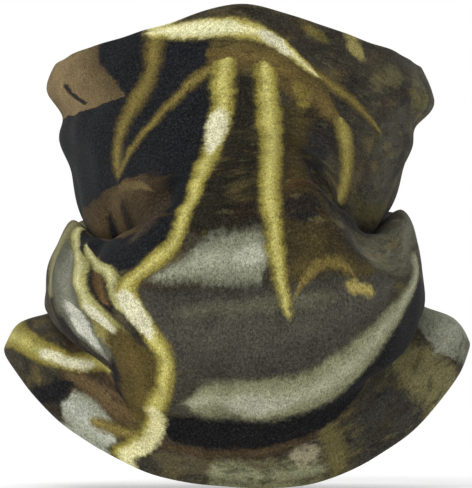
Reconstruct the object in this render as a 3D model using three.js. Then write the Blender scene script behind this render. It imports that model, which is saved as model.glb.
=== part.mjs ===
// A double-layer fleece neck gaiter in the shape it takes on its wearer: from the bridge of the nose over the
// cheeks, pinched at the neck, rolled out as a cowl, tucked under and flared over the shoulders.
// Two cloth panels, each wrapped into a tube, are sewn together at the top edge and the hem and turned right
// side out. Millimetres, +Z up, the wearer faces -Y, +X is the wearer's left, Z = 0 is the hem's lowest point.
import * as THREE from 'three';

// ---- Driving dimensions ----

const HEM_WIDTH = 224; // across the two shoulder tips of the hem
const DRAPE_DEPTH = 199; // from the nose back to the nape
const DRAPE_HEIGHT = 231; // from the chest up to the bridge of the nose

const SHELL_THICKNESS = 1.8; // printed fleece
const LINING_THICKNESS = 1.5; // plain fleece
const LAYER_GAP = 0.4; // between the two layers, and between cloth and thread
const EDGE_ROUND = 1.4; // how far the turned edge stands beyond the cut line
const TURNED_EDGE = 5; // printed cloth that shows inside, from the edge to the seam

const THREAD_DIAMETER = 0.9; // a seam's interlocked threads, as one strand
const THREAD_SIDES = 6;

const STITCH_DIAMETER = 0.5; // the single thread that closes the turning gap
const STITCH_LIFT = 0.6; // of the closing stitches off the lining, on the tips of its nap
const STITCH_REACH = 2; // each closing stitch's bite into the cloth, either side of the seam
const STITCH_PITCH = 5.5; // along the seam, there and back
const STITCH_STEPS = 8; // straight pieces in one stitch, there and back
const STITCH_END_ROOM = 2; // at least, between the closing stitches and either end of the turning gap
const TURNING_GAP = 44; // length of the lining's back seam that is closed by hand

const LABEL_THICKNESS = 0.6; // satin ribbon folded in two
const LABEL_TOP_LEVEL = 8;
const LABEL_FOOT_LEVEL = 8.5;
const LABEL_PANEL_STEPS = 2; // how many steps round the tube the label reaches from the seam

const PANEL_STEPS = 36; // flat strips round the tube
const FOLD_ROOM = 0.5; // at least, between the lining's edge and the nearest fold across the panels
const BACK = 180; // bearing of the back seam, in degrees from the front
const ALONG_STEP = 0.01; // share of a level, and of a degree, in which the face is felt along

// The thread lies between two cloth edges with the same gap on either side.
const SEAM_GAP = THREAD_DIAMETER + 2 * LAYER_GAP;
const LINING_OUTSIDE = SHELL_THICKNESS + LAYER_GAP;
const LINING_INSIDE = LINING_OUTSIDE + LINING_THICKNESS;
const LINING_MIDDLE = (LINING_OUTSIDE + LINING_INSIDE) / 2;
const LINING_EDGE = TURNED_EDGE + SEAM_GAP; // cloth from the top edge, or from the hem, to the lining's cut edge
const STITCH_COUNT = Math.floor((TURNING_GAP - 2 * STITCH_END_ROOM) / STITCH_PITCH); // there and back

// ---- The drape ----

// Bearings round the wearer, in degrees from the front towards the wearer's left.
const BEARINGS = [0, 25, 50, 90, 140, 180, 220, 270, 310, 335];

// Lines of the cloth from the top edge down. Each gives, at those bearings, how far out from the tube's axis
// and how far up the cloth lies, drawn for a hem 224 wide and a drape 199 deep and 231 high.
const DRAWN_WIDTH = 224;
const DRAWN_DEPTH = 199;
const DRAWN_HEIGHT = 231;
const LINES = [
  { // top edge
    out: [97, 96, 93, 88, 86, 84, 86, 87, 93, 96],
    up: [231, 222, 210, 200, 196, 196, 197, 199, 210, 220],
  },
  { // rolled crest under the top edge
    out: [103, 100, 97, 94, 91, 89, 90, 91.5, 96, 100],
    up: [214, 204, 193, 184, 182, 181, 183, 189, 195, 203],
  },
  { // dent under the roll, and the tip of the nose
    out: [107, 100, 92, 85, 83, 82, 82, 83, 89, 98],
    up: [199, 190, 178, 172, 168, 168, 171, 177, 183, 190],
  },
  { // fullness over the cheek
    out: [102, 98, 90, 84, 81, 80, 81, 84.5, 90, 97],
    up: [180, 175, 165, 161, 155, 155, 158, 165, 168, 173],
  },
  { // foot of the cheek, running in behind the cowl
    out: [97, 92, 81, 77, 72, 72, 73, 77.5, 82, 92],
    up: [162, 161, 143, 148, 140, 140, 142, 148, 146, 153],
  },
  { // pinch at the neck
    out: [93.5, 86, 67, 64, 62, 62, 62, 65, 68, 86],
    up: [146, 148, 115, 123, 121, 120, 120, 115, 112, 136],
  },
  { // rolled lip of the cowl
    out: [92, 91, 81, 78.5, 76, 76, 76, 78.5, 80, 91],
    up: [130, 139, 121, 133, 128, 126, 126, 128, 118.5, 128],
  },
  { // shoulder of the cowl
    out: [94, 96, 94, 85.5, 85, 85, 85, 87, 94, 97],
    up: [102, 110, 104, 121, 115, 112, 114, 115, 102, 105],
  },
  { // belly of the cowl
    out: [98, 101, 99, 89, 89, 88, 89, 91, 99, 101],
    up: [70, 74, 82, 104, 98, 94, 97, 98, 80, 72],
  },
  { // lower lip of the cowl
    out: [94, 97, 97, 89, 87, 86, 88, 92, 97, 98],
    up: [48, 49, 62, 93, 84, 79, 84, 87, 61, 49],
  },
  { // tuck under the lip
    out: [86, 88, 88, 85, 80, 77, 80, 86, 87, 88],
    up: [35, 37, 56, 88.5, 79, 73, 79, 82.5, 56, 38],
  },
  { // flare over the collarbones
    out: [86, 90, 95, 104, 89, 81, 90, 104.5, 96, 91],
    up: [18, 21, 39, 80, 68, 61, 68, 77.5, 44, 24],
  },
  { // hem
    out: [92, 96, 103, 112, 96, 86, 97, 112, 103, 97],
    up: [2.5, 5.5, 25, 68, 56, 48, 56, 67, 28.5, 9],
  },
];
const LAST_LINE = LINES.length - 1;

// Levels between the turned edges where the panels are folded, closer where the cloth turns sharply; 5.5 lies
// halfway from line 5 to line 6.
const FOLD_LEVELS = [
  0.75, 1, 1.5, 2, 2.5, 3, 4, 4.5, 4.8, 5, 5.15, 5.3, 5.5, 5.75, 6, 6.25, 6.5,
  7, 8, 8.5, 9, 9.4, 9.7, 10, 10.3, 10.6, 11, 11.3,
];

// Smooth curve through four values in a row, at share t of the way from b to c; the gaps are the steps between
// the places where the values are given.
function smooth(a, b, c, d, gapBefore, gap, gapAfter, t) {
  const slopeB = (c - a) / (gapBefore + gap) * gap;
  const slopeC = (d - b) / (gap + gapAfter) * gap;
  const t2 = t * t;
  const t3 = t2 * t;
  return b * (2 * t3 - 3 * t2 + 1) + slopeB * (t3 - 2 * t2 + t) + c * (3 * t2 - 2 * t3) + slopeC * (t3 - t2);
}

// A line's value at any bearing, closed on itself round the wearer.
function roundValue(values, bearing) {
  const turn = 360;
  const wrapped = ((bearing % turn) + turn) % turn;
  const count = BEARINGS.length;
  let i = count - 1;
  while (BEARINGS[i] > wrapped) i -= 1;
  const at = (k) => BEARINGS[((k % count) + count) % count] + turn * Math.floor(k / count);
  const value = (k) => values[((k % count) + count) % count];
  const gap = at(i + 1) - at(i);
  const share = (wrapped - at(i)) / gap;
  return smooth(value(i - 1), value(i), value(i + 1), value(i + 2),
    at(i) - at(i - 1), gap, at(i + 2) - at(i + 1), share);
}

// Where one line crosses a bearing.
function linePoint(line, bearing) {
  const turned = THREE.MathUtils.degToRad(bearing);
  const out = roundValue(LINES[line].out, bearing);
  return new THREE.Vector3(
    out * Math.sin(turned) * HEM_WIDTH / DRAWN_WIDTH,
    -out * Math.cos(turned) * DRAPE_DEPTH / DRAWN_DEPTH,
    roundValue(LINES[line].up, bearing) * DRAPE_HEIGHT / DRAWN_HEIGHT,
  );
}

// The outer face of the gaiter at a bearing and a level.
function facePoint(bearing, level) {
  const i = Math.min(Math.max(Math.floor(level), 0), LAST_LINE - 1);
  const [a, b, c, d] = [i - 1, i, i + 1, i + 2].map(
    (k) => linePoint(Math.min(Math.max(k, 0), LAST_LINE), bearing),
  );
  const along = (axis) => smooth(a[axis], b[axis], c[axis], d[axis], 1, 1, 1, level - i);
  return new THREE.Vector3(along('x'), along('y'), along('z'));
}

// The face with its directions: down the cloth, sideways round it, and outward from it.
function faceFrame(bearing, level) {
  const step = ALONG_STEP;
  const top = Math.max(level - step, 0);
  const foot = Math.min(level + step, LAST_LINE);
  const down = facePoint(bearing, foot).sub(facePoint(bearing, top)).normalize();
  const sideways = facePoint(bearing + step, level).sub(facePoint(bearing - step, level)).normalize();
  const outward = down.clone().cross(sideways).normalize();
  return { point: facePoint(bearing, level), down, outward, sideways: outward.clone().cross(down) };
}

// The level that lies a length of cloth in from the top edge, or from the hem.
function levelInFrom(bearing, edgeLevel, length) {
  const step = edgeLevel === 0 ? ALONG_STEP : -ALONG_STEP;
  let level = edgeLevel;
  let walked = 0;
  let here = facePoint(bearing, level);
  while (walked < length) {
    level += step;
    const next = facePoint(bearing, level);
    walked += next.distanceTo(here);
    here = next;
  }
  return level;
}

// A point under the outer face: so deep into the cloth, so far beyond the edge and so far round from a bearing.
function clothPoint(bearing, level, depth, { beyond = 0, shift = 0 } = {}) {
  const { point, down, outward, sideways } = faceFrame(bearing, level);
  const away = level < LAST_LINE / 2 ? -beyond : beyond;
  return point.addScaledVector(outward, -depth).addScaledVector(down, away).addScaledVector(sideways, shift);
}

// ---- Solids ----

function mesh(name, vertices, triangles, colour, roughness) {
  const geometry = new THREE.BufferGeometry();
  geometry.setAttribute('position', new THREE.Float32BufferAttribute(vertices.flatMap((v) => v.toArray()), 3));
  geometry.setIndex(triangles.flat());
  geometry.computeVertexNormals();
  const material = new THREE.MeshStandardMaterial({ color: colour, roughness, metalness: 0 });
  const solid = new THREE.Mesh(geometry, material);
  solid.name = name;
  return solid;
}

// Joins a row of equal closed outlines into a solid and caps its two ends. The caps' triangles come from an
// anticlockwise flat drawing of the outline. Where levels are given, every four-sided facet folds from its lower
// near corner to its upper far one, whichever way the outline runs, so that layers on top of each other fold
// alike.
function loft(outlines, drawing, levels = drawing.map(() => 0)) {
  const size = drawing.length;
  const triangles = [];
  for (let i = 0; i + 1 < outlines.length; i += 1) {
    for (let j = 0; j < size; j += 1) {
      const next = (j + 1) % size;
      const [a, b] = [i * size + j, i * size + next];
      const [c, d] = [a + size, b + size];
      if (levels[next] > levels[j]) triangles.push([a, c, b], [b, c, d]);
      else triangles.push([a, c, d], [a, d, b]);
    }
  }
  const last = (outlines.length - 1) * size;
  for (const [a, b, c] of THREE.ShapeUtils.triangulateShape(drawing, [])) {
    triangles.push([a, b, c], [last + a, last + c, last + b]);
  }
  return { vertices: outlines.flat(), triangles };
}

// Bearings of a panel's folds, from one side of the back seam round the front to the other. The first and last
// stand off from the seam by half of its gap.
function panelStations(halfGap) {
  const stations = [];
  for (let i = 0; i <= PANEL_STEPS; i += 1) {
    stations.push({ bearing: BACK + 360 * i / PANEL_STEPS, shift: 0 });
  }
  stations[0].shift = halfGap;
  stations[PANEL_STEPS].shift = -halfGap;
  return stations;
}

// A cloth panel from its section, a closed list of { level(bearing), depth, beyond } that runs down the outer
// face and back up the inner one. The loft takes it the other way round, so that its faces look outward.
function panelLoft(downAndUp, stations) {
  const section = [...downAndUp].reverse();
  const outlines = stations.map(({ bearing, shift }) => section.map(
    ({ level, depth, beyond }) => clothPoint(bearing, level(bearing), depth, { beyond, shift }),
  ));
  const drawing = outlines[0].map(({ y, z }) => new THREE.Vector2(y, z));
  return loft(outlines, drawing, section.map(({ level }) => level(BACK)));
}

// A strand of thread through a row of frames, round in section. The two named directions of a frame span it.
function strand(frames, across, inward, diameter = THREAD_DIAMETER) {
  const drawing = [];
  for (let i = 0; i < THREAD_SIDES; i += 1) {
    const turned = 2 * Math.PI * i / THREAD_SIDES;
    drawing.push(new THREE.Vector2(Math.cos(turned), Math.sin(turned)).multiplyScalar(diameter / 2));
  }
  const outlines = frames.map((frame) => drawing.map(
    ({ x, y }) => frame.point.clone().addScaledVector(frame[across], x).addScaledVector(frame[inward], y),
  ));
  return loft(outlines, drawing);
}

const topEdge = (length) => (bearing) => levelInFrom(bearing, 0, length);
const hemEdge = (length) => (bearing) => levelInFrom(bearing, LAST_LINE, length);

// Both panels fold at the same levels, and only where they are clear of the lining's edges all the way round.
function clearFoldLevels() {
  const bearings = panelStations(0).map(({ bearing }) => bearing);
  const top = Math.max(...bearings.map(topEdge(LINING_EDGE + FOLD_ROOM)));
  const foot = Math.min(...bearings.map(hemEdge(LINING_EDGE + FOLD_ROOM)));
  return FOLD_LEVELS.filter((level) => level > top && level < foot);
}

const clearLevels = clearFoldLevels();
const foldPoints = (depth) => clearLevels.map((level) => ({ level: () => level, depth }));

// ---- The pieces ----

// The printed panel: its outer face, and at each edge a turned-in leg that lies in the lining's plane.
function outerShell() {
  const mid = LINING_INSIDE / 2;
  const section = [
    { level: topEdge(0), depth: 0 },
    ...foldPoints(0),
    { level: hemEdge(0), depth: 0 },
    { level: hemEdge(0), depth: mid, beyond: EDGE_ROUND },
    { level: hemEdge(0), depth: LINING_INSIDE },
    { level: hemEdge(TURNED_EDGE), depth: LINING_INSIDE },
    { level: hemEdge(TURNED_EDGE), depth: SHELL_THICKNESS },
    ...foldPoints(SHELL_THICKNESS).reverse(),
    { level: topEdge(TURNED_EDGE), depth: SHELL_THICKNESS },
    { level: topEdge(TURNED_EDGE), depth: LINING_INSIDE },
    { level: topEdge(0), depth: LINING_INSIDE },
    { level: topEdge(0), depth: mid, beyond: EDGE_ROUND },
  ];
  const { vertices, triangles } = panelLoft(section, panelStations(SEAM_GAP / 2));
  return mesh('outer_shell', vertices, triangles, '#5b5540', 0.95);
}

// The plain panel inside it, between the two turned edges.
function innerLining() {
  const section = [
    { level: topEdge(LINING_EDGE), depth: LINING_OUTSIDE },
    ...foldPoints(LINING_OUTSIDE),
    { level: hemEdge(LINING_EDGE), depth: LINING_OUTSIDE },
    { level: hemEdge(LINING_EDGE), depth: LINING_INSIDE },
    ...foldPoints(LINING_INSIDE).reverse(),
    { level: topEdge(LINING_EDGE), depth: LINING_INSIDE },
  ];
  const { vertices, triangles } = panelLoft(section, panelStations(SEAM_GAP / 2));
  return mesh('inner_lining', vertices, triangles, '#2e2f33', 0.95);
}

// The thread in the joint between a turned edge and the lining, once round from the back seam.
function edgeSeam(name, edge) {
  const level = edge(TURNED_EDGE + SEAM_GAP / 2);
  const frames = panelStations(SEAM_GAP / 2).map(({ bearing, shift }) => ({
    ...faceFrame(bearing, level(bearing)),
    point: clothPoint(bearing, level(bearing), LINING_MIDDLE, { shift }),
  }));
  const { vertices, triangles } = strand(frames, 'down', 'outward');
  return mesh(name, vertices, triangles, '#3a3a36', 0.8);
}

// The thread of a back seam, down the middle of its layer between two levels.
function backSeam(name, depth, topLevel, footLevel) {
  const levels = [topLevel, ...FOLD_LEVELS.filter((level) => level > topLevel && level < footLevel), footLevel];
  const frames = levels.map((level) => ({
    ...faceFrame(BACK, level),
    point: clothPoint(BACK, level, depth),
  }));
  const { vertices, triangles } = strand(frames, 'outward', 'sideways');
  return mesh(name, vertices, triangles, '#3a3a36', 0.8);
}

function shellBackSeam() {
  return backSeam('shell_back_seam', SHELL_THICKNESS / 2, topEdge(0)(BACK), hemEdge(0)(BACK));
}

// It stops at the turning gap, which ends with the lining at the hem.
function liningBackSeam() {
  const top = topEdge(LINING_EDGE)(BACK);
  return backSeam('lining_back_seam', LINING_MIDDLE, top, hemEdge(LINING_EDGE + TURNING_GAP)(BACK));
}

// Closing stitches over the joint on the skin side: one thread that winds to and fro across the seam.
function turningGapStitch() {
  const depth = LINING_INSIDE + STITCH_LIFT + STITCH_DIAMETER / 2;
  const margin = (TURNING_GAP - STITCH_COUNT * STITCH_PITCH) / 2;
  const points = [];
  for (let i = 0; i <= STITCH_COUNT * STITCH_STEPS; i += 1) {
    const stitch = i / STITCH_STEPS;
    const level = hemEdge(LINING_EDGE + margin + stitch * STITCH_PITCH)(BACK);
    const shift = STITCH_REACH * Math.sin(2 * Math.PI * stitch);
    points.push(clothPoint(BACK, level, depth, { shift }));
  }
  const outward = new THREE.Vector3(0, 1, 0);
  const frames = points.map((point, i) => {
    const ahead = points[Math.min(i + 1, points.length - 1)].clone().sub(points[Math.max(i - 1, 0)]).normalize();
    return { point, outward, across: ahead.cross(outward).normalize() };
  });
  const { vertices, triangles } = strand(frames, 'across', 'outward', STITCH_DIAMETER);
  return mesh('turning_gap_stitch', vertices, triangles, '#45453f', 0.8);
}

// A blank folded ribbon caught in the lining's back seam, lying along the lining on the wearer's right.
function fibreLabel() {
  const depth = LINING_INSIDE + LAYER_GAP;
  const section = [
    { level: () => LABEL_TOP_LEVEL, depth },
    { level: () => LABEL_FOOT_LEVEL, depth },
    { level: () => LABEL_FOOT_LEVEL, depth: depth + LABEL_THICKNESS },
    { level: () => LABEL_TOP_LEVEL, depth: depth + LABEL_THICKNESS },
  ];
  const stations = panelStations(STITCH_REACH + THREAD_DIAMETER).slice(0, LABEL_PANEL_STEPS + 1);
  const { vertices, triangles } = panelLoft(section, stations);
  return mesh('fibre_label', vertices, triangles, '#d8d6cf', 0.5);
}

const gaiter = new THREE.Group();
gaiter.add(
  outerShell(),
  innerLining(),
  edgeSeam('top_edge_seam', topEdge),
  edgeSeam('hem_seam', hemEdge),
  shellBackSeam(),
  liningBackSeam(),
  turningGapStitch(),
  fibreLabel(),
);

export default gaiter;
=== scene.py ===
# A double-layer fleece neck gaiter in the shape it takes on its wearer, from the bridge of the nose to the
# hem over the shoulders. Metres, +Z up, the wearer faces -Y.
import math

import bpy
import numpy as np
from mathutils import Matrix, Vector


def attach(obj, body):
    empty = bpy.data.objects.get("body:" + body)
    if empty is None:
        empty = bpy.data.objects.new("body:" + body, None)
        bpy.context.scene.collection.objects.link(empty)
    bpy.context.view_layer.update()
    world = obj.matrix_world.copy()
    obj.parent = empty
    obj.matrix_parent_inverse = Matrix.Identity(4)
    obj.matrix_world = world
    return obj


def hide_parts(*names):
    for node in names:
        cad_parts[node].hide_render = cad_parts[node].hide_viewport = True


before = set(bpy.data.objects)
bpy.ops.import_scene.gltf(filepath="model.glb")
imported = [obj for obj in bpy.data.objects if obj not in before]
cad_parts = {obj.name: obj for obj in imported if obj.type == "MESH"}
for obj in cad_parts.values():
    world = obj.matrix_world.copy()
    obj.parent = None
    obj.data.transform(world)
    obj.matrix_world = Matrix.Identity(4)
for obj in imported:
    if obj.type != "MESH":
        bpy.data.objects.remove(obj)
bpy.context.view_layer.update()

MM = 0.001

# ---- Studio ----
# A pale floor under the hem and soft light from above and in front, as for a catalogue. The camera stands
# level with the middle of the drape, far enough back that the nose isn't enlarged.

CAMERA_DISTANCE = 5.0
CAMERA_RIGHT = -0.0005
CAMERA_HEIGHT = 0.1162
VIEW_WIDTH = 0.2266  # of the plane through the wearer's ears
SENSOR_WIDTH = 0.036
WHITE = (1, 1, 1, 1)

camera_data = bpy.data.cameras.new("studio_camera")
camera_data.sensor_width = SENSOR_WIDTH / MM
camera_data.sensor_fit = "HORIZONTAL"
camera_data.lens = SENSOR_WIDTH / MM * CAMERA_DISTANCE / VIEW_WIDTH
camera = bpy.data.objects.new("studio_camera", camera_data)
camera.location = (CAMERA_RIGHT, -CAMERA_DISTANCE, CAMERA_HEIGHT)
camera.rotation_euler = (math.radians(90), 0, 0)
bpy.context.scene.collection.objects.link(camera)
bpy.context.scene.camera = camera
bpy.context.scene.view_settings.view_transform = "Standard"

FLOOR_HALF = 0.9
FLOOR_DROP = 0.0005  # below the hem's lowest point
FLOOR_PALE = (0.93, 0.93, 0.93, 1)
FLOOR_GLOW = 0.3  # keeps the paper white under the hem's shadow
floor_mesh = bpy.data.meshes.new("studio_floor")
floor_corners = [(x * FLOOR_HALF, y * FLOOR_HALF, 0) for x, y in ((-1, -1), (1, -1), (1, 1), (-1, 1))]
floor_mesh.from_pydata(floor_corners, [], [(0, 1, 2, 3)])
floor = bpy.data.objects.new("studio_floor", floor_mesh)
floor.location.z = -FLOOR_DROP
bpy.context.scene.collection.objects.link(floor)
floor_paper = bpy.data.materials.new("studio_paper")
floor_paper.use_nodes = True
paper = floor_paper.node_tree.nodes["Principled BSDF"].inputs
paper["Base Color"].default_value = FLOOR_PALE
paper["Roughness"].default_value = 1
paper["Emission Color"].default_value = WHITE
paper["Emission Strength"].default_value = FLOOR_GLOW
floor_mesh.materials.append(floor_paper)

AIR_SEEN = 1.0  # the paper behind the gaiter is burnt out to white
AIR_LIGHT = 0.52
studio_air = bpy.data.worlds.new("studio_air")
studio_air.use_nodes = True
air = studio_air.node_tree
air.nodes["Background"].inputs["Color"].default_value = WHITE
seen = air.nodes.new("ShaderNodeLightPath")
air_strength = air.nodes.new("ShaderNodeMapRange")
air_strength.inputs["To Min"].default_value = AIR_LIGHT
air_strength.inputs["To Max"].default_value = AIR_SEEN
air.links.new(seen.outputs["Is Camera Ray"], air_strength.inputs["Value"])
air.links.new(air_strength.outputs["Result"], air.nodes["Background"].inputs["Strength"])
bpy.context.scene.world = studio_air

LIGHTS_AIM = (0, 0, 0.12)  # the middle of the gaiter
for name, place, size, watts in (
    ("key_light", (-0.4, -1.1, 1.2), 0.8, 9),
    ("back_light", (0.3, 1.2, 0.9), 1.0, 6),
):
    light_data = bpy.data.lights.new(name, "AREA")
    light_data.size, light_data.energy = size, watts
    soft_box = bpy.data.objects.new(name, light_data)
    soft_box.location = place
    soft_box.rotation_euler = (Vector(LIGHTS_AIM) - Vector(place)).to_track_quat("-Z", "Y").to_euler()
    bpy.context.scene.collection.objects.link(soft_box)

# ---- The drape ----
# How the cloth lies on the wearer: from the bridge of the nose over the cheeks, in behind the cowl at the
# neck, over the cowl's rolled lip and belly, under its lower lip and out over the collarbones.

TURN = 360.0
BACK = 180.0  # bearing of the back seam
BEARINGS = np.array([0, 25, 50, 90, 140, 180, 220, 270, 310, 335], float)  # from the front to wearer's left
DRAPE_LINES = [  # from the top edge down: how far out from the neck's axis, and how far up, in millimetres
    # top edge
    ([97, 96, 93, 88, 86, 84, 86, 87, 93, 96], [229.4, 219.4, 209, 200, 196, 196, 197, 199, 209.5, 218]),
    # roll
    ([103, 100, 97, 94, 91, 89, 90, 91.5, 96, 100], [214, 204, 193, 184, 182, 181, 183, 189, 195, 203]),
    # nose tip
    ([107, 100, 92, 85, 83, 82, 82, 83, 89, 98], [199, 190, 178, 172, 168, 168, 171, 177, 183, 190]),
    # cheek
    ([102, 98, 90, 84, 81, 80, 81, 84.5, 90, 97], [180, 175, 165, 161, 155, 155, 158, 165, 168, 173]),
    # jaw
    ([97, 92, 81, 77, 72, 72, 73, 77.5, 82, 92], [162, 161, 143, 148, 140, 140, 142, 148, 146, 153]),
    # pinch
    ([93.5, 86, 67, 64, 62, 62, 62, 65, 68, 86], [146, 148, 115, 123, 121, 120, 120, 115, 112, 136]),
    # lip
    ([92, 91, 81, 78.5, 76, 76, 76, 78.5, 80, 91], [130, 139, 121, 133, 128, 126, 126, 128, 118.5, 128]),
    # cowl
    ([94, 96, 94, 85.5, 85, 85, 85, 87, 94, 97], [102, 110, 104, 121, 115, 112, 114, 115, 102, 105]),
    # belly
    ([98, 101, 99, 89, 89, 88, 89, 91, 99, 101], [70, 74, 82, 104, 98, 94, 97, 100, 84, 72]),
    # lower lip
    ([94, 97, 97, 89, 87, 86, 88, 92, 97, 98], [48, 49, 62, 93, 84, 79, 84, 89, 68, 49]),
    # tuck
    ([86, 88, 88, 85, 80, 77, 80, 86, 87, 88], [35, 37, 56, 88.5, 79, 73, 79, 84.5, 62, 38]),
    # collarbones
    ([86, 90, 95, 104, 89, 81, 90, 104.5, 96, 91], [18, 21, 39, 80, 68, 61, 68, 77.5, 44, 24]),
    # hem
    ([92, 96, 103, 112, 96, 86, 97, 112, 103, 97], [2.5, 5.5, 25, 68, 56, 48, 56, 67, 28.5, 9]),
]


def smooth_through(knots, values, at):
    """Cubic curve through values at knots. Both have one entry more than the curve's span at either end."""
    i = np.clip(np.searchsorted(knots, at, side="right") - 1, 1, len(knots) - 3)
    gap = knots[i + 1] - knots[i]
    t = (at - knots[i]) / gap
    share_before = gap / (knots[i + 1] - knots[i - 1])
    share_after = gap / (knots[i + 2] - knots[i])
    shape = (-1,) + (1,) * (values.ndim - 1)
    t, share_before, share_after = (x.reshape(shape) for x in (t, share_before, share_after))
    slope_in = (values[i + 1] - values[i - 1]) * share_before
    slope_out = (values[i + 2] - values[i]) * share_after
    ease = t * t * (3 - 2 * t)
    return (
        values[i] * (1 - ease) + values[i + 1] * ease
        + slope_in * (t ** 3 - 2 * t ** 2 + t) + slope_out * (t ** 3 - t ** 2)
    )


def drape(bearings, levels):
    """The gaiter's outer face: rows at the levels, which count the drape's lines, and columns at bearings."""
    knots = np.concatenate([BEARINGS[-2:] - TURN, BEARINGS, BEARINGS[:2] + TURN])
    turned = np.radians(bearings)
    lines = []
    for out, up in DRAPE_LINES:
        wrapped = np.array([out[-2:] + out + out[:2], up[-2:] + up + up[:2]], float).T
        reach, height = smooth_through(knots, wrapped, bearings % TURN).T
        lines.append(np.stack([reach * np.sin(turned), -reach * np.cos(turned), height], axis=-1))
    lines = np.array([lines[0], *lines, lines[-1]])
    return smooth_through(np.arange(-1, len(DRAPE_LINES) + 1, dtype=float), lines, levels) * MM


# ---- Outer shell ----
# One rectangle of printed fleece, wrapped into a tube and sewn at the centre back. Its top and bottom edges
# are turned in over the lining's edges, which makes the thick round rim.

FLAT_ROUND = 530  # the cut panel round the tube, in millimetres
FLAT_LENGTH = 255  # and along it
SHELL_THICKNESS = 1.8 * MM
SHELL_BACK_GAP = 0.15 * MM  # between the panel's two cut ends
LINING_THICKNESS = 1.5 * MM
LAYER_GAP = 0.4 * MM
LINING_OUTSIDE = SHELL_THICKNESS + LAYER_GAP
LINING_INSIDE = LINING_OUTSIDE + LINING_THICKNESS
LINING_MIDDLE = (LINING_OUTSIDE + LINING_INSIDE) / 2

ROWS = 151
COLUMNS = 240
DRAPE_SAMPLES = 1201  # that the rows are spaced out by
RIM_ROWS = 4  # rows of cloth turned in at either edge
RIM_STEPS = 8  # round the rim
ROUNDED_OFF = 1.3 * MM  # of the drape at either edge, which the rim rounds off
SEAM_COLUMNS = np.array([0.15, 0.35, 0.6, 1.0])  # closer columns beside the back seam, in degrees
HEM_LEG = ROWS - 1 - RIM_ROWS

fine_levels = np.linspace(0, len(DRAPE_LINES) - 1, DRAPE_SAMPLES)
even_bearings = BACK + TURN * np.arange(COLUMNS + 1) / COLUMNS
fine_steps = np.linalg.norm(np.diff(drape(even_bearings, fine_levels), axis=0), axis=-1).mean(axis=1)
walked = np.concatenate([[0], np.cumsum(fine_steps)])
row_levels = np.interp(np.linspace(ROUNDED_OFF, walked[-1] - ROUNDED_OFF, ROWS), walked, fine_levels)
column_bearings = np.unique(np.concatenate([even_bearings, BACK + SEAM_COLUMNS, BACK + TURN - SEAM_COLUMNS]))
across_flat = (column_bearings - BACK - TURN / 2) / TURN * FLAT_ROUND  # 0 at the front
down_flat = np.linspace(0, FLAT_LENGTH, ROWS)  # 0 at the top edge


def unit(vectors):
    return vectors / np.linalg.norm(vectors, axis=-1, keepdims=True)


def outward_of(face):
    """Directions out of the cloth, from a face whose first and last column meet at the back seam."""
    looped = np.concatenate([face[:, -2:-1], face, face[:, 1:2]], axis=1)
    return unit(np.cross(np.gradient(face, axis=0), looped[:, 2:] - looped[:, :-2]))


SOFT_FOLDS = [  # where they run on the flat cloth (across, down), how wide, how far they stand out, in mm
    ([(-135, 92), (-120, 98), (-100, 100)], 16, 4.5),  # slack behind the cheeks
    ([(135, 92), (120, 96), (100, 98)], 16, 3.5),
    ([(-60, 222), (-42, 216), (-30, 212)], 9, 3.0),  # the tuck runs out before the middle
    ([(52, 216), (36, 214), (24, 212)], 9, 2.5),
    ([(23, 72), (30, 88), (38, 105), (48, 124)], 4.4, -4.4),  # creases off the ends of the cowl's lip
    ([(34, 76), (41, 92), (49, 108), (58, 122)], 7, 2.2),
    ([(-28, 98), (-34, 110), (-41, 122), (-50, 131)], 5, -3.2),
    ([(-76, 138), (-68, 152), (-59, 168), (-50, 182)], 5, -1.8),  # folds down the cowl from its lip
    ([(-86, 142), (-78, 156), (-67, 172)], 5, 1.5),
    ([(-98, 142), (-90, 160), (-82, 176)], 5, -1.6),
    ([(54, 138), (74, 148), (96, 156)], 7, -1.5),
    ([(60, 156), (82, 163), (104, 166)], 8, 1.2),
    ([(-150, 130), (-140, 160), (-150, 190)], 8, -2.0),
    ([(150, 130), (142, 160), (150, 190)], 8, -2.0),
    ([(190, 120), (205, 150), (195, 185)], 9, -2.2),
    ([(-200, 118), (-192, 150), (-205, 185)], 9, -2.0),
    ([(-95, 60), (-70, 72), (-45, 78)], 9, -0.9),
    ([(96, 56), (76, 68), (58, 84)], 9, -0.9),
    ([(-250, 100), (-225, 112), (-195, 116)], 8, -1.8),
    ([(250, 104), (225, 114), (195, 118)], 8, -1.8),
]


def fold_height(path, width):
    """1 along the middle of a fold's path, falling away to its sides and ends."""
    across, down = np.meshgrid(across_flat, down_flat)
    spot = np.stack([across, down], axis=-1)
    height = np.zeros(across.shape)
    for start, end in zip(np.array(path[:-1], float), np.array(path[1:], float)):
        run = end - start
        share = np.clip(((spot - start) @ run) / (run @ run), 0, 1)
        away = np.linalg.norm(spot - start - share[..., None] * run, axis=-1)
        height = np.maximum(height, np.exp(-(away / width) ** 2))
    return height


SLACK_WAVES = [  # how high in millimetres, how many round the tube, how long down it, and where they start
    (0.35, 9, 17, 0), (0.3, 14, -11, 1.3), (0.25, 23, 7.5, 0.4), (0.3, 3, 9, 0),
]


def unevenness():
    """The slight waviness of soft cloth, in millimetres."""
    across, down = np.meshgrid(np.radians(across_flat / FLAT_ROUND * TURN), down_flat)
    waves = (high * np.sin(count * across + down / long + start) for high, count, long, start in SLACK_WAVES)
    return sum(waves)


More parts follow.
